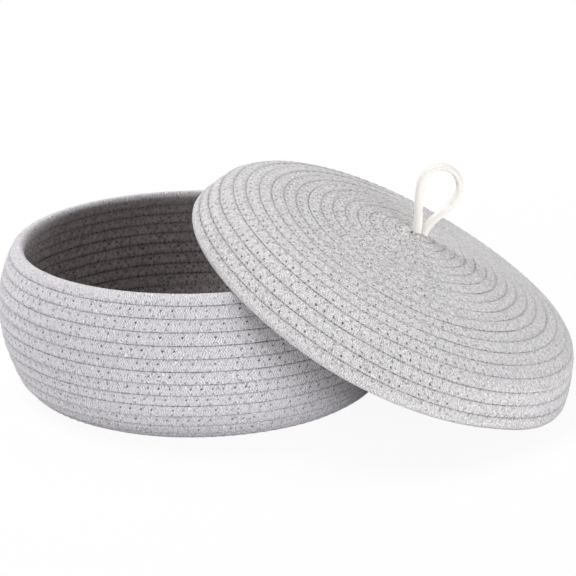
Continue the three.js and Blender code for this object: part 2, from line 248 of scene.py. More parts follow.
rope = {
    "stepLength": 4.6,  # along the rope
    "arcPoints": 9,  # across one side of it
    "girth": 31,  # round it, which sets the rows of its bake map
    "rowMargin": 0.04,  # share of such a row left free at each edge
    "crownPower": 8.0,  # how flat its back is between two seams
    "crownRound": 0.5,  # and how round towards them
    "crownVary": 0.12,  # how much the back swells and thins along the rope
    "seamGap": 0.03,  # left between two turns, so that their sides don't meet
    "seamWander": 0.035,  # how far a seam strays, in turns
    "heightWander": 0.28,  # how far a turn strays in and out of the wall
    "waverSteps": (0.05, 0.11, 0.07, 0.04),  # turns between draws for the seams, height, back and stitches
    "tableStep": 0.002,  # turns between the lengths that a coil keeps
    "sideFade": 18,  # degrees over which one side of a coil passes into the rest
    "closeFade": 2,  # turns over which close turns pass into the rest
    "closeFill": 0.85,  # how much of the groove between close turns is gone
    "edgeFade": 0.02,  # turns over which a sewn side passes into the free edge
    "edgeLeast": 0.01,  # square of the share of its thickness that the free edge keeps at its side
    "hubClose": (1.5, 0.4),  # turns before the hub where the rope starts to fill it, and for how many
    "hubUnsewn": 0.6,  # turns at the hub without a seam
    "insideFade": (1.3, 1.2),  # turns from the free edge over which the inside's painted shade comes in, and the curve of it
    "holesClosed": 0.8,  # how much of the needle holes is gone on the plain side
    "tailLength": 60,  # of the taper that ends the rope
    "tailHeight": 3,
    "tailCurve": 1.5,
}


# one coiled rope; turn is how many turns its middle lies from the edge: hubTurn - 0.5 at the rope's
# start, and -0.5 at its end
class Coil:
    lastTurn = -0.5

    def __init__(self, values, point, hubTurn):
        self.values = values
        self.point = point
        self.hubTurn = hubTurn
        self.startTurn = hubTurn - 0.5
        self.lastSeam = hubTurn - rope["hubUnsewn"]
        self.pitch = values["ropePitch"]
        self.halfRope = values["ropeThickness"] / 2
        edgeWidth = np.linalg.norm(point(0, 0, 0) - point(0, math.pi, 0))
        self.tailTurns = rope["tailLength"] / (math.pi * edgeWidth)
        wavers = [makeWaver(-1, self.startTurn + 1, step) for step in rope["waverSteps"]]
        self.seamWaver, self.heightWaver, self.crownWaver, self.stitchWaver = wavers
        self.measure()

    def angle(self, turn):
        return math.radians(self.values["endAngle"]) - 2 * math.pi * (turn - self.lastTurn)

    # tables of turns, and of the length along the seam from the edge to each
    def measure(self):
        self.tableTurns = np.arange(-1, self.hubTurn + 1, rope["tableStep"])
        places = self.point(self.tableTurns, self.angle(self.tableTurns - 0.5), 0)
        steps = np.linalg.norm(np.diff(places, axis=0), axis=1)
        self.tableLengths = np.concatenate([[0], np.cumsum(steps)])

    def length(self, seam):
        return np.interp(seam, self.tableTurns, self.tableLengths)

    def stitchLength(self, seam):
        return self.length(seam) + stitch["wander"] * self.stitchWaver(seam)

    # where a seam lies, in turns from the edge
    def seamAt(self, seam):
        sewn = seam + self.seamWaver(seam) * rope["seamWander"]
        free = seam - (self.halfRope - self.pitch / 2) / self.pitch
        freeShare = np.clip(-seam / rope["edgeFade"], 0, 1)
        return np.minimum(sewn + (free - sewn) * freeShare, self.hubTurn)

    # a rope's two sides, which close the hub at its start and narrow over the tail that ends it
    def ropeSides(self, turn):
        upper = self.seamAt(turn - 0.5)
        lower = self.seamAt(turn + 0.5)
        closeStart, closeTurns = rope["hubClose"]
        closing = np.clip((turn - self.hubTurn + closeStart) / closeTurns, 0, 1)
        lower = lower + (self.hubTurn - lower) * closing
        tail = np.clip((self.lastTurn + self.tailTurns - turn) / self.tailTurns, 0, 1) ** rope["tailCurve"]
        narrow = lower - rope["tailHeight"] / self.pitch
        return upper + (narrow - upper) * tail, lower

    # 1 over one side of the coil, 0 over the rest
    def onSide(self, turn, middle, reach):
        apart = np.abs(degreesFrom(middle, self.angle(turn)))
        return np.clip((reach - apart) / rope["sideFade"], 0, 1)

    # how closely the turns press together, 0 to 1
    def closeness(self, turn):
        fade = rope["closeFade"]
        closest = np.zeros(np.shape(turn))
        for middle, reach, firstTurn, lastTurn, amount in self.values["closeSides"]:
            within = np.clip((turn - firstTurn) / fade, 0, 1) * np.clip((lastTurn - turn) / fade, 0, 1)
            closest = np.maximum(closest, self.onSide(turn, middle, reach) * within * amount)
        return closest

    # how far the rope's surface stands off its middle, across it from -0.5 to 0.5
    def standOff(self, turn, across):
        upper, lower = self.ropeSides(turn)
        width = np.clip(lower - upper, 0, 1)
        crown = (1 - np.abs(2 * across) ** rope["crownPower"]) ** rope["crownRound"]
        relief = crown * width * (1 + rope["crownVary"] * self.crownWaver(turn))
        relief = relief + (1 - relief) * self.closeness(turn) * rope["closeFill"]
        sewn = self.halfRope - self.values["seamDepth"] + self.values["seamDepth"] * relief
        # the free edge is round, but keeps a little thickness at its very side
        free = self.halfRope * np.sqrt(np.maximum(1 - (2 * across) ** 2, rope["edgeLeast"])) * np.sqrt(width)
        freeShare = np.clip((0.5 - turn) / rope["edgeFade"], 0, 1) * (across < 0)
        return sewn + (free - sewn) * freeShare


# rings of points round the rope, from its end to its start
def ropeRings(coil):
    stepTurns = np.interp(
        np.arange(0, coil.length(coil.startTurn), rope["stepLength"]),
        coil.length(coil.tableTurns) - coil.length(coil.lastTurn),
        coil.tableTurns,
    )
    ringTurns = stepTurns[(stepTurns >= coil.lastTurn) & (stepTurns < coil.startTurn)]
    ringTurns = np.append(ringTurns, coil.startTurn)
    count = rope["arcPoints"]
    spread = -0.5 * np.cos(np.pi * np.arange(count) / (count - 1))
    across = np.concatenate([[-0.5], spread, [0.5], spread[::-1]])
    side = np.concatenate([[0], np.ones(count), [0], -np.ones(count)])
    upper, lower = coil.ropeSides(ringTurns)
    gap = rope["seamGap"] / coil.pitch
    turns = (upper + gap)[:, None] * (0.5 - across) + (lower - gap)[:, None] * (0.5 + across)
    along = ringTurns[:, None]
    offset = side * coil.standOff(along, across[None, :]) + rope["heightWander"] * coil.heightWaver(along)
    angle = np.broadcast_to(coil.angle(along), turns.shape)
    return ringTurns, across, side, coil.point(turns, angle, offset)


def buildMesh(name, places, faces, maps):
    mesh = bpy.data.meshes.new(name)
    mesh.from_pydata((places * mm).tolist(), [], faces)
    for mapName, values in maps.items():
        layer = mesh.uv_layers.new(name=mapName)
        layer.data.foreach_set("uv", np.asarray(values, np.float32).ravel())
    mesh.polygons.foreach_set("use_smooth", np.ones(len(mesh.polygons), bool))
    mesh.update()
    piece = bpy.data.objects.new(name, mesh)
    bpy.context.scene.collection.objects.link(piece)
    return piece


# a tube through rings of points: each corner's ring and point, its side faces, and the two that close it
def tubeFaces(ringCount, ringSize):
    ring, point = np.meshgrid(np.arange(ringCount - 1), np.arange(ringSize), indexing="ij")
    ring, point = ring.ravel(), point.ravel()
    cornerRing = np.stack([ring, ring, ring + 1, ring + 1], -1)
    cornerPoint = np.stack([point, point + 1, point + 1, point], -1)
    quads = cornerRing * ringSize + cornerPoint % ringSize
    ends = np.stack([np.arange(ringSize)[::-1], (ringCount - 1) * ringSize + np.arange(ringSize)])
    return cornerRing, cornerPoint, quads, ends


# two values at every corner of a tube's side faces, and one at those of its ends
def cornerMap(first, second, ends, endValue=0):
    return np.concatenate([np.stack([first, second], -1).reshape(-1, 2), np.full((ends.size, 2), endValue)])


def makeRope(name, coil):
    ringTurns, across, side, rings = ropeRings(coil)
    ringCount, ringSize = rings.shape[:2]
    cornerRing, cornerPoint, quads, ends = tubeFaces(ringCount, ringSize)
    acrossAt = np.append(across, across[0])[cornerPoint]
    sideAt = np.append(side, side[0])[cornerPoint]
    turnAt = ringTurns[cornerRing]
    missing = 99  # stands for no seam, because it is farther than any mark reaches
    above = np.where(turnAt > 0.5, (acrossAt + 0.5) * coil.pitch, missing)
    below = np.where(turnAt < coil.lastSeam, (0.5 - acrossAt) * coil.pitch, missing)
    # how far the inside's painted shade has come in from the free edge
    fadeTurns, fadeCurve = rope["insideFade"]
    fromEdge = np.clip((turnAt + acrossAt - coil.lastTurn + 0.5) / fadeTurns, 0, 1) ** fadeCurve
    plain = coil.onSide(turnAt, *coil.values["plainSide"])
    # the bake map lays the rope out in rows
    rowSteps = math.ceil(math.sqrt(ringCount * rope["girth"] / rope["stepLength"]))
    rows = math.ceil((ringCount - 1) / rowSteps)
    row = cornerRing[:, :1] // rowSteps
    margin = rope["rowMargin"]
    upRow = (row + margin + (1 - 2 * margin) * cornerPoint / ringSize) / rows
    maps = {
        "ropeWay": cornerMap(coil.length(turnAt), acrossAt * coil.pitch, ends),
        "seamAbove": cornerMap(coil.stitchLength(turnAt - 0.5), above, ends, missing),
        "seamBelow": cornerMap(coil.stitchLength(turnAt + 0.5) + stitch["spacing"] / 2, below, ends, missing),
        "shown": cornerMap(1 - rope["holesClosed"] * plain, 1 - coil.closeness(turnAt), ends),
        # where the inside's painted shade lies, and how far in towards the hub
        "inside": cornerMap((0.5 - sideAt / 2) * fromEdge, turnAt / coil.hubTurn, ends),
        "OFBake": cornerMap((cornerRing - row * rowSteps) / rowSteps, upRow, ends),
    }
    return buildMesh(name, rings.reshape(-1, 3), quads.tolist() + ends.tolist(), maps)


stitch = {
    "spacing": 7.4,  # between needle holes in one row
    "wander": 0.9,  # how far the stitches stray along their seam
    "thickness": 0.6,
    "lift": 0.08,  # of the thread off the rope
    "sink": 0.7,  # of its ends into their holes
    "shares": (0, 0.1, 0.5, 0.9, 1),  # where each stitch has its points, from hole to hole
    "corners": ((1, 0), (-0.5, 0.87), (-0.5, -0.87)),  # of the thread's section, up and sideways
    "grain": (1500, 2, 0.6),
    "tones": (0.9, 1.13),  # its dark and its light, as shares of the rope's colour
}


# the middle line of each stitch of the zigzag over every seam, and its way out of the wall
def stitchLines(coil, side):
    step = stitch["spacing"] / 2
    firstStitch = math.ceil(coil.stitchLength(rope["edgeFade"]) / step)
    lastStitch = math.floor(coil.stitchLength(coil.lastSeam) / step)
    number = np.arange(firstStitch, lastStitch)[:, None]
    shares = np.array(stitch["shares"])
    lifts = np.where(shares % 1 == 0, -stitch["sink"], stitch["lift"])
    table = coil.stitchLength(coil.tableTurns)
    order = np.argsort(table)
    seam = np.interp((number + shares) * step, table[order], coil.tableTurns[order])
    # holes on the hub's side of a seam are at whole spacings, those on its other side at half ones
    swing = np.where(number % 2 == 0, 1, -1) * (1 - 2 * shares)
    aside = swing * np.where(swing > 0, coil.values["stitchBelow"], coil.values["stitchAbove"])
    turnAt = np.where(aside > 0, seam + 0.5, seam - 0.5)
    across = np.where(aside > 0, -0.5, 0.5) + aside / coil.pitch
    stand = coil.standOff(turnAt, across)
    chord = stand[:, :1] * (1 - shares) + stand[:, -1:] * shares
    stand = np.maximum(stand, chord) + lifts
    turns = coil.seamAt(seam) + aside / coil.pitch
    angle = coil.angle(seam - 0.5)
    wander = rope["heightWander"] * coil.heightWaver(turnAt)
    middle = coil.point(turns, angle, side * stand + wander)
    normal = coil.point(turns, angle, side * (stand + 1) + wander) - middle
    return middle, normal / np.linalg.norm(normal, axis=-1, keepdims=True)


# every stitch on one side of the coil, each a thin closed thread
def makeStitches(name, coil, side):
    middle, normal = stitchLines(coil, side)
    along = np.gradient(middle, axis=1)
    along /= np.linalg.norm(along, axis=-1, keepdims=True)
    sideways = np.cross(along, normal)
    radius = stitch["thickness"] / 2
    corners = [middle + radius * (up * normal + aside * sideways) for up, aside in stitch["corners"]]
    rings = np.stack(corners, 2)
    threadCount, ringCount, ringSize = rings.shape[:3]
    quads, ends = tubeFaces(ringCount, ringSize)[2:]
    starts = np.arange(threadCount)[:, None] * ringCount * ringSize
    faces = (starts[:, None] + quads).reshape(-1, 4).tolist()
    faces += (starts + ends[0]).tolist() + (starts + ends[1]).tolist()
    return buildMesh(name, rings.reshape(-1, 3), faces, {})


# one output socket, so that shader maths reads as Python
class Wire:
    def __init__(self, shader, socket):
        self.shader = shader
        self.socket = socket

    def maths(self, operation, *values):
        return self.shader.node("ShaderNodeMath", {"operation": operation}, *values)

    def __add__(self, other):
        return self.maths("ADD", self, other)

    def __radd__(self, other):
        return self.maths("ADD", other, self)

    def __sub__(self, other):
        return self.maths("SUBTRACT", self, other)

    def __rsub__(self, other):
        return self.maths("SUBTRACT", other, self)

    def __mul__(self, other):
        return self.maths("MULTIPLY", self, other)

    def __rmul__(self, other):
        return self.maths("MULTIPLY", other, self)

    def __truediv__(self, other):
        return self.maths("DIVIDE", self, other)

    def __rtruediv__(self, other):
        return self.maths("DIVIDE", other, self)

    def __pow__(self, other):
        return self.maths("POWER", self, other)

    def __rpow__(self, other):
        return self.maths("POWER", other, self)

    def __abs__(self):
        return self.maths("ABSOLUTE", self)

    def fraction(self):
        return self.maths("FRACT", self)

    def sine(self):
        return self.maths("SINE", self)

    def root(self):
        return self.maths("SQRT", self)

    def most(self, other):
        return self.maths("MAXIMUM", self, other)

    # from low where this is 0, to high where it is 1
    def span(self, low, high):
        return self * (high - low) + low

    # 0 up to start and 1 from end on, smooth between; start may be the higher
    def ramp(self, start, end):
        settings = {"interpolation_type": "SMOOTHSTEP"}
        if start < end:
            return self.shader.node("ShaderNodeMapRange", settings, self, start, end, 0, 1)
        return self.shader.node("ShaderNodeMapRange", settings, self, end, start, 1, 0)


# the nodes of one material or world
class Shader:
    def __init__(self, owner, outputKind="ShaderNodeOutputMaterial"):
        self.owner = owner
        owner.use_nodes = True
        self.tree = owner.node_tree
        self.tree.nodes.clear()
        self.output = self.tree.nodes.new(outputKind)

    # any node: its settings first, then the values or links of its sockets, in order or by name
    def node(self, kind, settings, *values, out=0, **named):
        made = self.tree.nodes.new(kind)
        for key, value in settings.items():
            setattr(made, key, value)
        pairs = list(zip([socket for socket in made.inputs if socket.enabled], values))
        pairs += [(made.inputs[key.replace("_", " ")], value) for key, value in named.items()]
        for socket, value in pairs:
            if isinstance(value, Wire):
                self.tree.links.new(value.socket, socket)
            else:
                socket.default_value = value
        outputs = [socket for socket in made.outputs if socket.enabled]
        return Wire(self, outputs[out] if isinstance(out, int) else made.outputs[out])

    # the two values of a map
    def splitMap(self, name):
        vector = self.node("ShaderNodeUVMap", {"uv_map": name})
        return [self.node("ShaderNodeSeparateXYZ", {}, vector, out=axis) for axis in (0, 1)]

    def place(self):
        return self.node("ShaderNodeTexCoord", {}, out="Object")

    def noise(self, vector, scale, detail, roughness):
        sockets = {"Vector": vector, "Scale": scale, "Detail": detail, "Roughness": roughness}
        return self.node("ShaderNodeTexNoise", {}, **sockets)

    def mixColours(self, factor, first, second, blend="MIX"):
        settings = {"data_type": "RGBA", "blend_type": blend}
        return self.node("ShaderNodeMix", settings, factor, first, second)

    def bump(self, height, distance, strength):
        sockets = {"Height": height, "Distance": distance, "Strength": strength}
        return self.node("ShaderNodeBump", {}, out="Normal", **sockets)

    def principled(self, **sockets):
        return self.finish(self.node("ShaderNodeBsdfPrincipled", {}, out="BSDF", **sockets))

    def finish(self, surface):
        self.tree.links.new(surface.socket, self.output.inputs["Surface"])
        return self.owner


# a colour as seen on a screen, from 0 to 255, turned into light
def screenColour(red, green, blue):
    def channel(value):
        value = value / 255
        return value / 12.92 if value <= 0.04045 else ((value + 0.055) / 1.055) ** 2.4

    return (channel(red), channel(green), channel(blue), 1)


def scaled(colour, factor):
    return tuple(min(channel * factor, 1) for channel in colour[:3]) + (1,)


knit = {
    # noises over the rope: scale in a metre, layers, roughness
    "grains": {
        "stray": (330, 2, 0.6),
        "slant": (130, 1, 0.5),
        "sway": (260, 2, 0.6),
        "broken": (520, 1, 0.5),
        "fibre": (700, 2, 0.6),
        "blotch": (140, 3, 0.55),
        "soft": (28, 2, 0.5),
        "speck": (420, 1, 0.5),
        "closed": (110, 1, 0.5),
        "patch": (75, 2, 0.5),
        "seam": (130, 2, 0.5),
        "mottle": (330, 2, 0.7),
    },
    # the noise at which each begins to count, and the one at which it counts in full
    "ramps": {
        "broken": (0.38, 0.6),
        "blotch": (0.35, 0.6),
        "soft": (0.3, 0.7),
        "speck": (0.36, 0.28),
        "closed": (0.36, 0.58),
        "patch": (0.42, 0.58),
        "seam": (0.3, 0.6),
    },
    "yarnSlant": 1.3,  # how far the yarns lean one way or the other
    "yarnStray": 1.6,  # and how far they stray along the rope
    "columnWidth": 3.3,  # of one herringbone column, across the rope
    "columnLean": 0.5,
    "columnSway": 3,  # how far the columns stray across the rope
    "yarnDark": 0.6,  # tones are shares of the rope's colour
    "yarnLight": 1.37,
    "yarnOpened": (0.5, 1.3),  # how much the yarns stand out where the holes have closed, and elsewhere
    "blotchShown": 0.1,
    "evenLight": 0.45,  # the light that yarns, fibres and blotches are added to
    "lightEnds": (0.05, 0.95),  # at which the rope is darkest and palest
    "wornLeast": 0.4,  # how much the yarns still stand out where they are worn, and where broken
    "brokenLeast": 0.3,
    "softTone": 0.86,
    "softShown": 0.09,
    "speckTone": 0.2,
    "speckShown": 0.52,
    "dashShadeShown": 2.0,  # of the short dashes near the hub: painted shade in the needle holes between the close turns
    "dashScale": (0.5, 1.3, 3),  # how fine they are along and across the rope, and how much they change
    "dashGrain": (1, 1, 0.5),
    "dashEdge": (0.4, 0.32),  # the noise at which a dash begins and is full
    "dashReach": (0.25, 0.6),  # shares of the way to the hub where they begin, and are all there
    # needle holes, painted as dark dots: painted shade in the holes
    "holeShadeTone": 0.07,
    "holeShadeShown": 0.95,
    "holeSlant": -0.35,
    "holeStray": 1.2,
    "holeNarrow": 0.7,  # below 1, the holes are longer across the rope
    "holeEdge": (1.4, 0.6),  # where a hole begins and is full, in hole sizes
    "closedLeast": 0.15,  # how much of a hole is left where it has closed
    "holeInside": 0.15,  # how much larger the holes are on the inside
    "lowerHoles": 0.65,  # how much the holes by the seam on the hub's side show
    # the seams' dark lines: painted shade in the grooves between the turns
    "seamShadeEdge": (0.36, 0.05),  # how far from a seam its painted shade begins and is full
    "seamStray": 0.8,
    "seamShadeLeast": 0.3,  # how dark it stays where it is paler
    "seamShadeTone": 0.3,
    "seamShadeShown": 1.25,
    "seamShadeBroken": (-0.1, 1.1),  # how dark the painted seam shade is where yarns are broken, and where they aren't
    "plainSeamShade": (-0.5, 0.7),  # how much more the painted seam shade shows on the plain side, down the wall and on the roof
    "roofStart": (0.2, 0.32),  # shares of the way to the hub over which the wall passes into the roof
    "fadeReach": (0.3, 0.75),  # over which the painted seam shade changes
    "hubStart": (0.78, 0.95),  # and over which it passes into the hub's
    # painted shadow beside the zigzag's threads on the inside
    "threadShadowEdge": (0.85, 0.35),  # how far from the thread its painted shadow begins and is full
    "threadShadowNarrow": 0.6,  # below 1, that painted shadow is wider
    "threadShadowStray": 0.4,
    "patchShown": 0.7,  # how much of the stitches' painted marks is gone in patches of the inside
    "threadShadowTone": 0.1,
    "threadShadowShown": 0.55,  # how dark the painted shadow beside its stitches is on the inside
    # painted shade where the ropes on the inside round off towards their seams
    "roundShadeTone": 0.25,
    "roundShadePower": 3,  # the higher, the closer to the seams
    "roundShadeShown": 0.38,  # how much painted shade darkens the ropes towards their seams on the inside, where they round off
    "mottleShown": 0.35,  # of the dark and light mottle on the inside
    "mottleDark": 0.15,
    "mottleLight": 1.9,
    "darkEdge": (0.5, 0.36),  # the noise at which the dark mottle begins and is full, and the light
    "lightEdge": (0.5, 0.66),
    # a darker, warmer tint over the inside faces: painted shade of the coil's inside
    "insideShadeTint": (0.79, 0.742, 0.715, 1),
    "bumpHeight": 0.0004,  # in metres
    "bumpShown": 0.5,
    "bumpShares": (0.5, 0.6, 2),  # of the yarns, the fibres and the holes
}


# the knitted rope's surface, one layer of its look over another
class RopeShader(Shader):
    def __init__(self, name, values):
        super().__init__(bpy.data.materials.new(name))
        self.values = values
        self.base = screenColour(*values["colour"])
        place = self.place()
        self.grains = {kind: self.noise(place, *grain) for kind, grain in knit["grains"].items()}
        self.patches = {kind: self.grains[kind].ramp(*ends) for kind, ends in knit["ramps"].items()}
        self.stray = self.grains["stray"] - 0.5
        self.along, self.across = self.splitMap("ropeWay")
        self.inside, self.inward = self.splitMap("inside")
        self.opened, self.apart = self.splitMap("shown")
        self.worn = self.patches["blotch"].span(knit["wornLeast"], 1)
        self.broken = self.patches["broken"].span(knit["brokenLeast"], 1)

    # mixes a share of the rope's colour into the tone
    def towards(self, amount, share):
        self.tone = self.mixColours(amount, self.tone, scaled(self.base, share))

    def makeYarns(self):
        sway = (self.grains["sway"] - 0.5) * knit["columnSway"]
        column = abs(((self.across + sway) / knit["columnWidth"]).fraction() - 0.5) * knit["columnWidth"]
        slant = self.grains["slant"] - 0.5
        phase = (self.along + self.stray * knit["yarnStray"]) / self.values["yarnLength"]
        phase = phase + self.across * slant * knit["yarnSlant"] + column * knit["columnLean"]
        self.yarn = (phase * (2 * math.pi)).sine() * 0.5 + 0.5
        yarnOpened = self.opened.span(*knit["yarnOpened"])
        light = (self.yarn - 0.5) * self.worn * self.broken * yarnOpened * self.values["yarnShown"]
        light = light + (self.grains["fibre"] - 0.5) * self.values["fibreShown"]
        light = light + self.grains["blotch"] * knit["blotchShown"] + knit["evenLight"]
        light = ((light - 0.5) * self.values["contrast"] + 0.5).ramp(*knit["lightEnds"])
        dark, pale = scaled(self.base, knit["yarnDark"]), scaled(self.base, knit["yarnLight"])
        self.tone = self.mixColours(light, dark, pale)
        self.towards(self.patches["soft"] * knit["softShown"], knit["softTone"])

    # random dark specks everywhere, and short dashes near the hub that are painted shade in the needle holes
    # between close turns
    def makeSpecks(self):
        alongScale, acrossScale, change = knit["dashScale"]
        way = self.along * alongScale, self.across * acrossScale, self.grains["soft"] * change
        stretched = self.node("ShaderNodeCombineXYZ", {}, *way)
        dashes = self.noise(stretched, *knit["dashGrain"]).ramp(*knit["dashEdge"])
        dashes = dashes * self.inward.ramp(*knit["dashReach"]) * self.opened
        # the dashes near the hub are painted shade in needle holes
        specks = self.patches["speck"].most(dashes * knit["dashShadeShown"])
        self.towards(specks * knit["speckShown"], knit["speckTone"])

    # the marks of one seam on the turn beside it: painted shade in its needle holes, painted shadow beside
    # the zigzag's thread, and painted shade in the seam's groove
    def seamMarks(self, mapName, rowReach, otherReach, slant, strength):
        along, away = self.splitMap(mapName)
        spacing = stitch["spacing"]
        aside = away - rowReach
        near = ((along / spacing + 0.5).fraction() - 0.5) * spacing + self.stray * knit["holeStray"]
        near = near + aside * slant
        reach = (near * near + aside * aside * knit["holeNarrow"]).root()
        reach = reach / (self.inside * knit["holeInside"] + 1)
        edges = [self.values["holeSize"] * edge for edge in knit["holeEdge"]]
        shown = self.patches["closed"].span(knit["closedLeast"], 1) * self.opened
        hole = reach.ramp(*edges) * shown * strength * (1 - self.inside * self.unstitched)
        # the painted shadow beside the zigzag's thread
        swing = abs((along / spacing).fraction() - 0.5) * 2
        thread = abs(away + otherReach - swing * (rowReach + otherReach)) * knit["threadShadowNarrow"]
        thread = thread + self.stray * knit["threadShadowStray"]
        # painted shade in the seam's groove
        seam = away + self.stray * knit["seamStray"]
        return hole, thread.ramp(*knit["threadShadowEdge"]), seam.ramp(*knit["seamShadeEdge"])

    def makeSeams(self):
        self.unstitched = self.patches["patch"] * knit["patchShown"]
        below, above, slant = self.values["stitchBelow"], self.values["stitchAbove"], knit["holeSlant"]
        edgeSide = self.seamMarks("seamAbove", below, above, slant, 1)
        hubSide = self.seamMarks("seamBelow", above, below, -slant, knit["lowerHoles"])
        self.holes, self.threads, seams = (first.most(second) for first, second in zip(edgeSide, hubSide))
        # painted shade in the needle holes
        self.towards(self.holes * knit["holeShadeShown"], knit["holeShadeTone"])
        # the seams' painted shade, fainter where turns press close
        fade = self.inward.ramp(*knit["fadeReach"]).span(*self.values["seamFade"])
        fade = fade + self.inward.ramp(*knit["hubStart"]) * self.values["hubSeam"]
        shown = self.patches["seam"].span(knit["seamShadeLeast"], 1) * fade * self.apart * knit["seamShadeShown"]
        plainSeamShade = self.inward.ramp(*knit["roofStart"]).span(*knit["plainSeamShade"])
        shown = shown * ((1 - self.opened) * plainSeamShade + 1) * self.broken.span(*knit["seamShadeBroken"])
        self.towards(seams * shown, knit["seamShadeTone"])

    # the inside: random mottle, painted shadow beside the stitches, painted shade towards the seams, and a
    # darker, warmer tint that is painted shade
    def makeInside(self):
        inside, mottle = self.inside, self.grains["mottle"]
        self.towards(inside * mottle.ramp(*knit["darkEdge"]) * knit["mottleShown"], knit["mottleDark"])
        self.towards(inside * mottle.ramp(*knit["lightEdge"]) * knit["mottleShown"], knit["mottleLight"])
        # painted shadow beside the stitches on the inside
        self.towards(inside * self.threads * (1 - self.unstitched) * knit["threadShadowShown"], knit["threadShadowTone"])
        # painted shade towards the seams, where the ropes on the inside round off
        roundShade = abs(self.across / (self.values["ropePitch"] / 2)) ** knit["roundShadePower"]
        self.towards(inside * (roundShade * knit["roundShadeShown"]), knit["roundShadeTone"])
        # the inside's painted shade: a darker, warmer tint
        tinted = self.mixColours(1.0, self.tone, knit["insideShadeTint"], "MULTIPLY")
        self.tone = self.mixColours(inside, self.tone, tinted)

    def make(self):
        self.makeYarns()
        self.makeSpecks()
        self.makeSeams()
        self.makeInside()
        yarnShare, fibreShare, holeShare = knit["bumpShares"]
        height = self.yarn * self.worn * self.broken * yarnShare + self.grains["fibre"] * fibreShare
        height = height - self.holes * holeShare
        normal = self.bump(height, knit["bumpHeight"], knit["bumpShown"])
        return self.principled(Base_Color=self.tone, Roughness=0.95, Normal=normal)


def threadMaterial(name, colour):
    shader = Shader(bpy.data.materials.new(name))
    fibre = shader.noise(shader.place(), *stitch["grain"])
    dark, pale = (scaled(screenColour(*colour), share) for share in stitch["tones"])
    return shader.principled(Base_Color=shader.mixColours(fibre, dark, pale), Roughness=0.85)


def finishPiece(piece, material, slot):
    piece.data.materials.append(material)
    print(piece.name, "built:", len(piece.data.polygons), "faces")


lidTurns = np.arange(*lid["hubSearch"])
lidRadii = lid["edgeRadius"] - lidWall(lidTurns)[0] * lid["ropePitch"]
lidHub = float(lidTurns[lidRadii > lid["hubHole"]][-1])  # the last turn that is outside the hub's hole
basketHub = basket["wallTurns"] + baseRadius / basket["ropePitch"]

# each body's coil and values, and the nodes that its rope stands for
coils = {
    "basket": (Coil(basket, basketPoint, basketHub), basket, ("base_coil", "wall_coil")),
    "lid": (Coil(lid, lidPoint, lidHub), lid, ("lid_top_coil", "lid_skirt_coil")),
}

for body, (coil, values, nodes) in coils.items():
    piece = makeRope(body + "_rope", coil)
    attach(piece, body)
    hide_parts(*nodes)
    finishPiece(piece, RopeShader(body + "Rope", values).make(), body + "_rope")

for body, (coil, values, nodes) in coils.items():
    thread = threadMaterial(body + "Thread", values["colour"])
    for sideName, side in (("outside", 1), ("inside", -1)):
        piece = makeStitches(f"{body}_stitches_{sideName}", coil, side)
        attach(piece, body)
        finishPiece(piece, thread, body + "_rope")

cord = {
    # along the line of the loop's legs, and up from the hinge
    "path": [(-3.0, -13), (-2.7, -4), (-6.8, 8), (-12.2, 18.7), (-17.4, 30.7), (-19.5, 39.5), (-17.6, 46.8),
             (-10.0, 52.4), (0.4, 51.6), (8.0, 45), (11.0, 37), (10.0, 27.3), (6.4, 18.2), (3.5, 11.3),
             (2.3, 4.8), (2.4, -3), (3.0, -13)],
    # at each point of the path
    "widths": [6.2, 6.7, 6.4, 6.1, 5.9, 5.6, 5.2, 4.8, 4.8, 5.0, 5.3, 5.9, 6.5, 6.6, 6.4, 6.3, 6.2],
    "depths": [5.4, 5.4, 5.4, 5.4, 5.5, 5.6, 5.9, 6.2, 6.2, 6.0, 5.8, 5.6, 5.4, 5.4, 5.4, 5.4, 5.4],
    "stepLength": 0.8,
    "ringPoints": 28,
    "curvePoints": 60,  # between two points of a path, before it is cut into even steps
    "strands": 7,
    "strandLay": 10,  # length of one turn of a strand
    "strandDepth": 0.06,
    "fatVary": 0.03,  # how much the cord swells and thins, and the length between two draws for it
    "fatStep": 9,
    "tipShare": 0.001,  # of the rounded end that is cut off, so that its last ring has a width
    "bendStart": -2,  # from the hinge, where the loop begins to fold and where the fold is full; makeLoop turns them into two points that nothing uses
    "bendEnd": 9,
    "fibreGrain": (1600, 3, 0.65),
    "softGrain": (200, 2, 0.5),
    "shown": (0.12, 0.8, 0.3),  # how much its strands, its fibres and its softer patches show
    "bumpHeight": 0.0003,  # in metres
    "bumpShown": 0.35,
    "bumpYarn": 0.15,  # how much of it the strands make, beside the fibres
    "lightEnds": (0.2, 1.0),  # at which the cord is darkest and palest
    "tones": (0.88, 1.04),  # its dark and its light, as shares of its colour
    "colour": (250, 247, 240.5),
}

knot = {
    "top": -12.6,  # under the hinge
    "length": 18,
    "breadth": 14,
    "height": 10,
    "strand": 5.0,
    "points": 24,
    "firstPoint": 5,  # where its two ends lie
    "flatLean": 0.01,  # so that no stretch of the knot runs along the way of its depth
    "tailPath": [(2, 1, 0), (6, 3, -3), (8, 5, -10)],  # of a cut end, from the knot's middle
    "tailRound": 0.6,  # how far a cut end is rounded off
}


# what a straight line from first at start to second at end is at a place
def between(place, start, end, first, second):
    return (end - place) / (end - start) * first + (place - start) / (end - start) * second


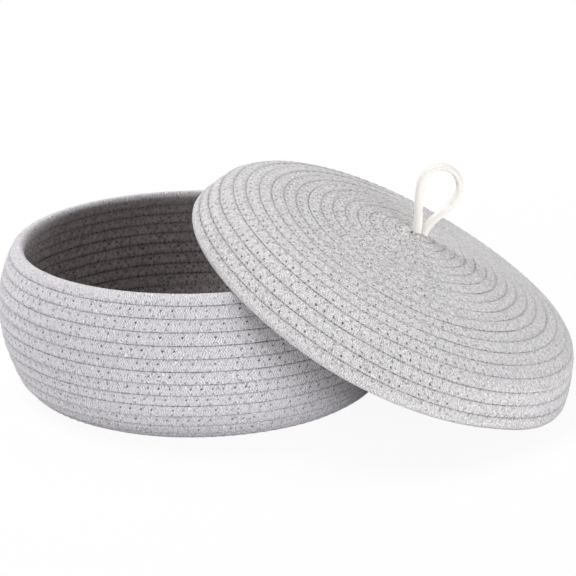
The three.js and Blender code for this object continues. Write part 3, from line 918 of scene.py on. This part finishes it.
# smooth curve through points, at even steps, with the length along it at each
def smoothPath(points, stepLength):
    points = np.array(points, float)
    points = np.concatenate([[2 * points[0] - points[1]], points, [2 * points[-1] - points[-2]]])
    knots = np.concatenate([[0], np.cumsum(np.linalg.norm(np.diff(points[:, :3], axis=0), axis=1) ** 0.5)])
    found = []
    for i in range(1, len(points) - 2):
        four, at = points[i - 1:i + 3], knots[i - 1:i + 3]
        places = np.linspace(at[1], at[2], cord["curvePoints"], endpoint=False)[:, None]
        lines = [between(places, at[j], at[j + 1], four[j], four[j + 1]) for j in range(3)]
        bends = [between(places, at[j], at[j + 2], lines[j], lines[j + 1]) for j in range(2)]
        found.append(between(places, at[1], at[2], *bends))
    found = np.concatenate(found + [points[-2:-1]])
    lengths = np.concatenate([[0], np.cumsum(np.linalg.norm(np.diff(found[:, :3], axis=0), axis=1))])
    even = np.linspace(0, lengths[-1], int(lengths[-1] / stepLength) + 1)
    return np.stack([np.interp(even, lengths, column) for column in found.T], -1), even


# braided tube along a path; flat is the direction of its depth, and rounding is how round its ends are
def makeCord(name, path, lengths, flat, width, depth, rounding=1.0):
    ringSize = cord["ringPoints"]
    along = np.gradient(path, axis=0)
    along /= np.linalg.norm(along, axis=1, keepdims=True)
    wide = np.cross(along, flat)
    wide /= np.linalg.norm(wide, axis=1, keepdims=True)
    thin = np.cross(wide, along)
    turn = 2 * np.pi * np.arange(ringSize) / ringSize
    lay = 2 * np.pi * lengths[:, None] / cord["strandLay"]
    braid = np.cos(cord["strands"] * turn + lay * 2) * np.cos(cord["strands"] * turn - lay * 2)
    fat = 1 + cord["fatVary"] * makeWaver(0, lengths[-1], cord["fatStep"])(lengths)[:, None]
    relief = cord["strandDepth"] * braid
    fromEnd = np.minimum(lengths, lengths[-1] - lengths)
    taper = np.clip(fromEnd / np.min(depth) * 2, cord["tipShare"], 1)
    taper = np.sqrt(1 - (1 - taper) ** 2)[:, None] * rounding + (1 - rounding)
    wideBy = (width / 2 * fat + relief) * taper * np.cos(turn)
    thinBy = (depth / 2 * fat + relief) * taper * np.sin(turn)
    rings = path[:, None] + wideBy[..., None] * wide[:, None] + thinBy[..., None] * thin[:, None]
    cornerRing, cornerPoint, quads, ends = tubeFaces(len(path), ringSize)
    maps = {"cordWay": cornerMap(lengths[cornerRing], cornerPoint / ringSize, ends)}
    return buildMesh(name, rings.reshape(-1, 3), quads.tolist() + ends.tolist(), maps)


def cordMaterial(name, colour):
    shader = Shader(bpy.data.materials.new(name))
    along, around = shader.splitMap("cordWay")
    place = shader.place()
    fibre = shader.noise(place, *cord["fibreGrain"])
    soft = shader.noise(place, *cord["softGrain"])
    lay = along / cord["strandLay"] * 2
    first = ((around * cord["strands"] + lay) * (2 * math.pi)).sine()
    second = ((around * cord["strands"] - lay) * (2 * math.pi)).sine()
    yarn = first * second * 0.5 + 0.5
    yarnShown, fibreShown, softShown = cord["shown"]
    light = (yarn * yarnShown + fibre * fibreShown + soft * softShown).ramp(*cord["lightEnds"])
    dark, pale = (scaled(screenColour(*colour), share) for share in cord["tones"])
    normal = shader.bump(yarn * cord["bumpYarn"] + fibre, cord["bumpHeight"], cord["bumpShown"])
    return shader.principled(Base_Color=shader.mixColours(light, dark, pale), Roughness=0.9, Normal=normal)


loopJoint = next(joint for joint in frame["joints"] if joint["name"] == "loop_fold")
hinge = np.array(loopJoint["pos_m"]) / mm
legLine = np.array(loopJoint["axis"])
lidUp = np.array(lidPlace.to_3x3() @ Vector((0, 0, 1)))
loopFlat = np.cross(lidUp, legLine)


# points given along the line of the legs, across it, and up from the hinge
def nearHub(points):
    points = np.asarray(points, float)
    return hinge + points[:, :1] * legLine + points[:, 1:2] * loopFlat + points[:, 2:3] * lidUp


def makeLoop():
    rows = zip(cord["path"], cord["widths"], cord["depths"])
    sections = [(x, 0, z, width, depth) for (x, z), width, depth in rows]
    path, lengths = smoothPath(sections, cord["stepLength"])
    piece = makeCord("cord_loop", nearHub(path[:, :3]), lengths, loopFlat, path[:, 3:4], path[:, 4:5])
    start, end = nearHub([(0, 0, cord["bendStart"]), (0, 0, cord["bendEnd"])]) * mm
    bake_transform(piece)
    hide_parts("pull_loop")
    return piece


# the loop's two ends, tied together inside the lid in a trefoil
def makeKnot():
    swing = np.linspace(0, 2 * np.pi, knot["points"], endpoint=False)
    spare = knot["strand"] / 2
    shape = np.stack([
        (np.sin(swing) + 2 * np.sin(2 * swing)) / 3 * (knot["length"] / 2 - spare),
        (np.cos(swing) - 2 * np.cos(2 * swing)) / 3 * (knot["breadth"] / 2 - spare),
        -np.sin(3 * swing) * (knot["height"] / 2 - spare),
    ], -1)
    shape[:, 2] += knot["top"] - knot["height"] / 2
    path, lengths = smoothPath(np.roll(shape, knot["firstPoint"], axis=0), cord["stepLength"])
    flat = lidUp + knot["flatLean"] * legLine
    piece = makeCord("cord_knot", nearHub(path), lengths, flat, knot["strand"], knot["strand"])
    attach(piece, "lid")
    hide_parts("loop_knot")
    return piece


def makeTail(name, way):
    middle = knot["top"] - knot["height"] * 0.5
    points = [(way * x, way * y, middle + z) for x, y, z in knot["tailPath"]]
    path, lengths = smoothPath(points, cord["stepLength"])
    strand = knot["strand"]
    piece = makeCord(name, nearHub(path), lengths, loopFlat, strand, strand, knot["tailRound"])
    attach(piece, "lid")
    return piece


cordFinish = cordMaterial("creamCord", cord["colour"])
for piece in (makeLoop(), makeKnot(), makeTail("cord_end_a", 1), makeTail("cord_end_b", -1)):
    finishPiece(piece, cordFinish, "cream_cord")

# places in metres, angles in degrees
studio = {
    "cameraPlace": (0.5099, -1.7588, 0.6771),
    "cameraAzimuth": 14.16,
    "cameraElevation": 18.37,
    "cameraRoll": -0.63,
    "focalPixels": 2600,
    "framePixels": 576,
    "sensorWidth": 36,  # millimetres
    "lampTarget": (0.05, 0, 0.06),
    "worldLight": 0.1,
    "floorHalf": 6,
    "floorColour": (0.9, 0.9, 0.9, 1),
    "floorWhite": 0.93,  # how much of the floor round the basket the camera sees as plain white
    "shadowReach": (0.4, 0.8),  # distances from the middle over which the rest turns white too
}


def makeCamera():
    azimuth = math.radians(studio["cameraAzimuth"])
    elevation = math.radians(studio["cameraElevation"])
    roll = math.radians(studio["cameraRoll"])
    ahead = Vector((
        -math.sin(azimuth) * math.cos(elevation),
        math.cos(azimuth) * math.cos(elevation),
        -math.sin(elevation),
    ))
    level = Vector((math.cos(azimuth), math.sin(azimuth), 0))
    upright = level.cross(ahead)
    right = level * math.cos(roll) + upright * math.sin(roll)
    up = upright * math.cos(roll) - level * math.sin(roll)
    turned = Matrix((right, up, -ahead)).transposed().to_4x4()
    data = bpy.data.cameras.new("camera")
    data.sensor_width = studio["sensorWidth"]
    data.lens = studio["focalPixels"] / studio["framePixels"] * data.sensor_width
    camera = bpy.data.objects.new("camera", data)
    camera.matrix_world = Matrix.Translation(studio["cameraPlace"]) @ turned
    bpy.context.scene.collection.objects.link(camera)
    bpy.context.scene.camera = camera


makeCamera()
print("camera placed")


# pale floor, which the camera sees as nearly white but with the object's shadow
def makeFloor():
    half = studio["floorHalf"]
    corners = np.array([(-half, -half, 0), (half, -half, 0), (half, half, 0), (-half, half, 0)]) / mm
    floor = buildMesh("floor", corners, [(0, 1, 2, 3)], {})
    shader = Shader(bpy.data.materials.new("paleFloor"))
    plain = shader.node("ShaderNodeBsdfDiffuse", {}, Color=studio["floorColour"])
    white = shader.node("ShaderNodeEmission", {}, Color=(1, 1, 1, 1), Strength=1.0)
    seen = shader.node("ShaderNodeLightPath", {}, out="Is Camera Ray")
    fromMiddle = shader.node("ShaderNodeVectorMath", {"operation": "LENGTH"}, shader.place(), out="Value")
    clear = fromMiddle.ramp(*studio["shadowReach"]).span(studio["floorWhite"], 1)
    mixed = shader.node("ShaderNodeMixShader", {}, seen * clear, plain, white)
    floor.data.materials.append(shader.finish(mixed))


makeFloor()


# even pale light, which the camera sees as white
def makeWorld():
    shader = Shader(bpy.data.worlds.new("studio"), "ShaderNodeOutputWorld")
    light = shader.node("ShaderNodeBackground", {}, Color=(1, 1, 1, 1), Strength=studio["worldLight"])
    white = shader.node("ShaderNodeBackground", {}, Color=(1, 1, 1, 1), Strength=1)
    seen = shader.node("ShaderNodeLightPath", {}, out="Is Camera Ray")
    bpy.context.scene.world = shader.finish(shader.node("ShaderNodeMixShader", {}, seen, light, white))


makeWorld()

# soft boxes: where each stands, its width and height, its power and its colour
lamps = {
    "topBox": ((-0.9, 0.0, 2.0), (1.0, 1.0), 34, (1, 1, 1)),
    "topBackBox": ((0.1, 1.1, 1.9), (1.0, 1.0), 10, (1, 1, 1)),
    "leftFrontBox": ((-1.5, -1.5, 0.35), (1.2, 0.6), 1.5, (0.965, 0.97, 1)),
    "frontLowBox": ((-0.7, -2.05, 0.09), (1.8, 0.16), 6.4, (0.98, 0.98, 0.995)),
    "leftHighBox": ((-1.4, -1.4, 0.95), (1.0, 0.6), 6.3, (0.965, 0.97, 1)),
    "rightBox": ((1.8, -1.1, 0.35), (1.0, 0.5), 24.8, (0.98, 0.98, 1)),
    "backBox": ((0.3, 2.0, 0.5), (1.6, 0.6), 7.5, (1, 1, 1)),
}


def makeLamp(name, place, size, power, colour):
    data = bpy.data.lights.new(name, "AREA")
    data.shape = "RECTANGLE"
    data.size, data.size_y = size
    data.energy = power
    data.color = colour
    lamp = bpy.data.objects.new(name, data)
    lamp.location = place
    lamp.rotation_euler = (Vector(studio["lampTarget"]) - Vector(place)).to_track_quat("-Z", "Y").to_euler()
    bpy.context.scene.collection.objects.link(lamp)


for name, (place, size, power, colour) in lamps.items():
    makeLamp(name, place, size, power, colour)
print("lamps set")

view = bpy.context.scene.view_settings
view.view_transform = "Standard"
